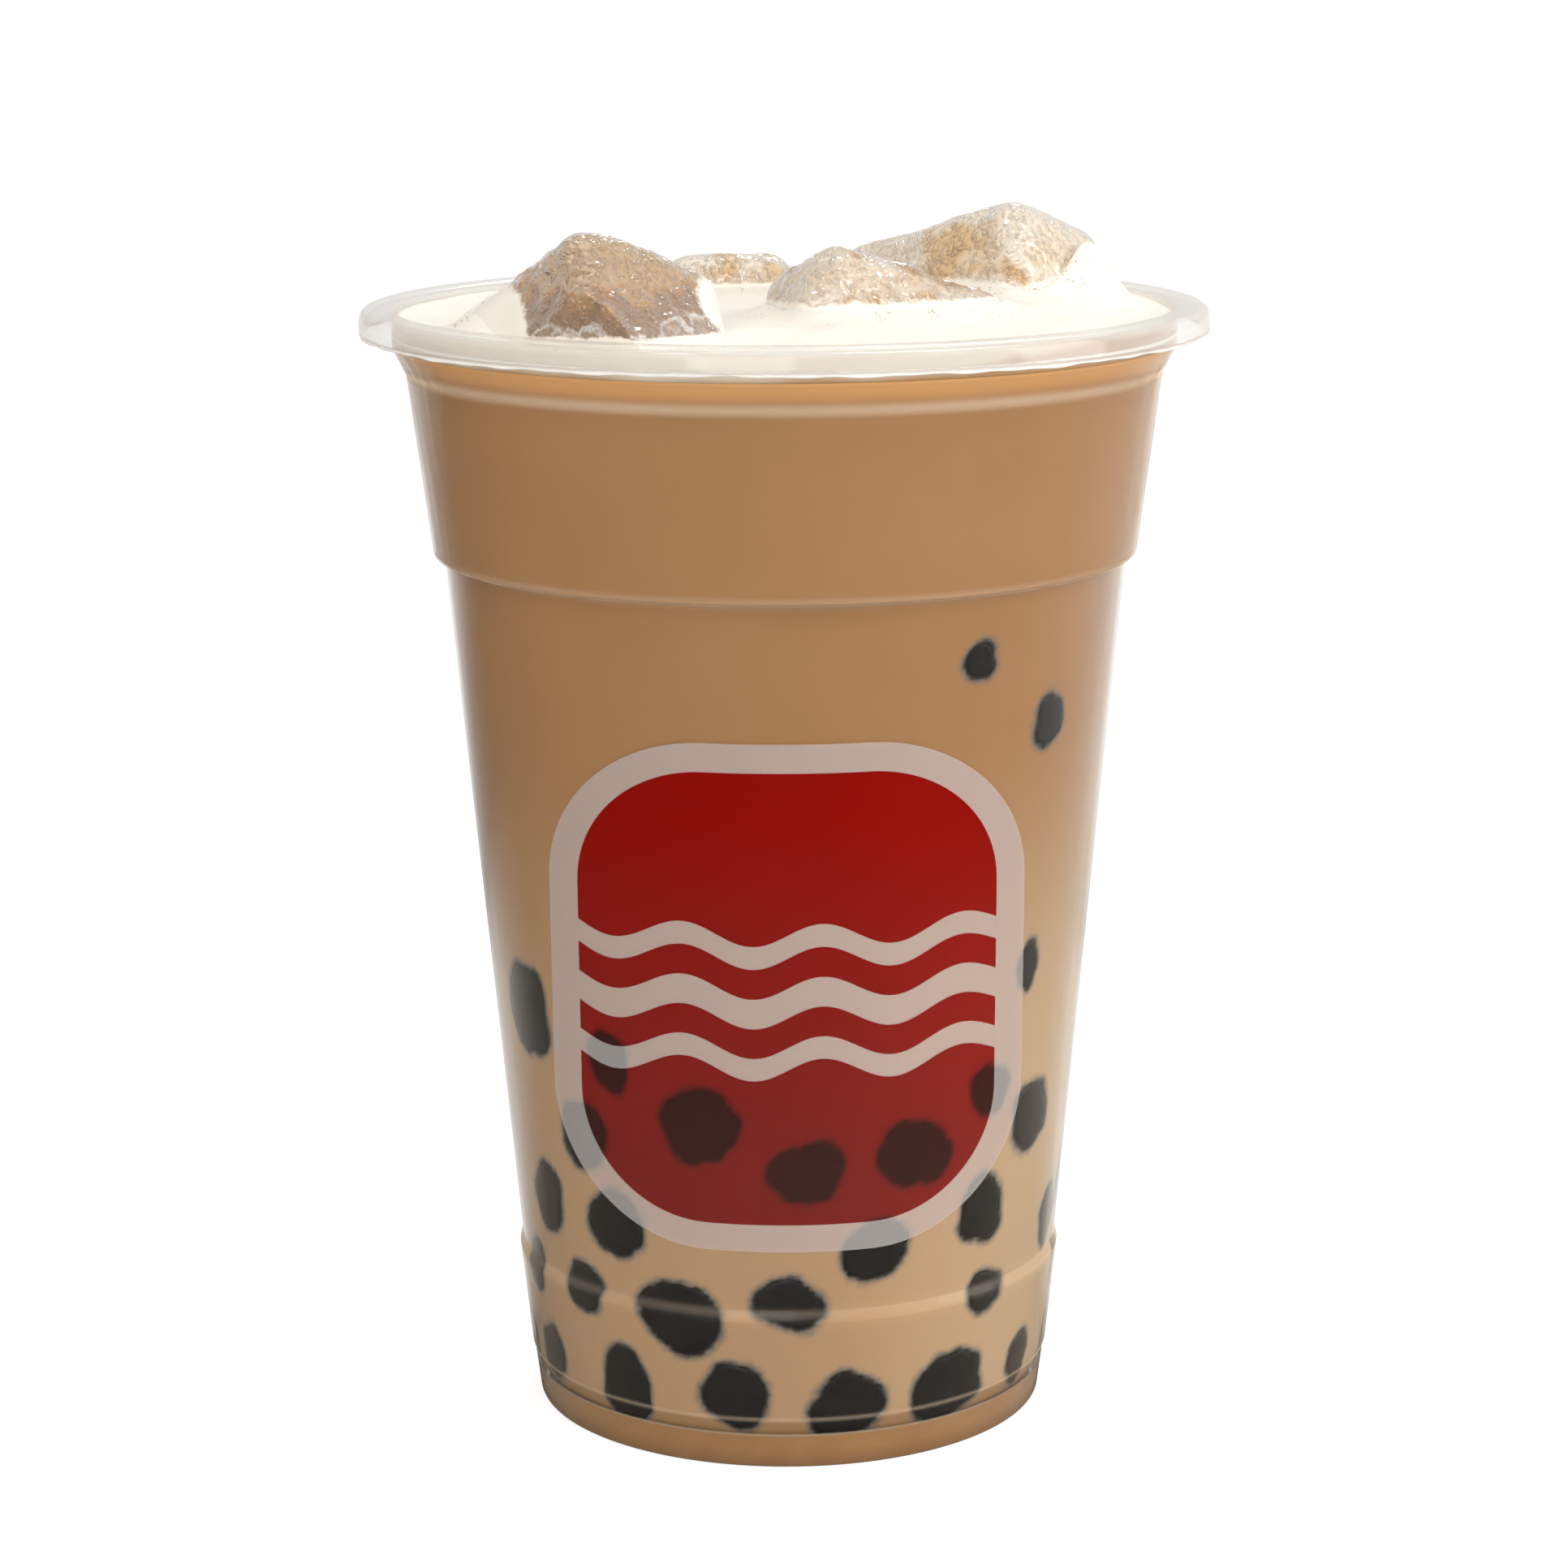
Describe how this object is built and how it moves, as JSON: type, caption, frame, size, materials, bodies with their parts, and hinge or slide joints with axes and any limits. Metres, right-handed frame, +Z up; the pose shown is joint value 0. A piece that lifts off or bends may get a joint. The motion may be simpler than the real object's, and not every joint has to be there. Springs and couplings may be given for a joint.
{
  "type": "bubble tea",
  "caption": "Thin clear plastic cup of iced milk tea, brim-full with cream foam, ice standing out of it and dark tapioca balls against the wall; plain sticker on the front.",
  "frame": {"origin": "centre of the cup's foot at table level", "axes": "+Z up along the cup's axis, -Y out of the front of the label, +X to the right seen from the front"},
  "size_m": [0.095, 0.095, 0.1371],
  "materials": {
    "cup_plastic": "thin clear moulded polypropylene, slightly hazy",
    "milk_tea": "opaque milk tea against the wall of the cup",
    "cream_foam": "fine cream foam with small bubbles",
    "ice": "cloudy melting ice stained by tea",
    "tapioca": "dark cooked tapioca balls",
    "label_film": "thin off-white film",
    "label_ink": "dark red print on the film"
  },
  "bodies": {
    "root": {"cup": "cup_plastic", "tea": "milk_tea", "foam": "cream_foam", "ice_front_left": "ice", "ice_front_right": "ice", "ice_back_left": "ice", "ice_back_right": "ice", "label": "label_film"}
  },
  "joints": []
}
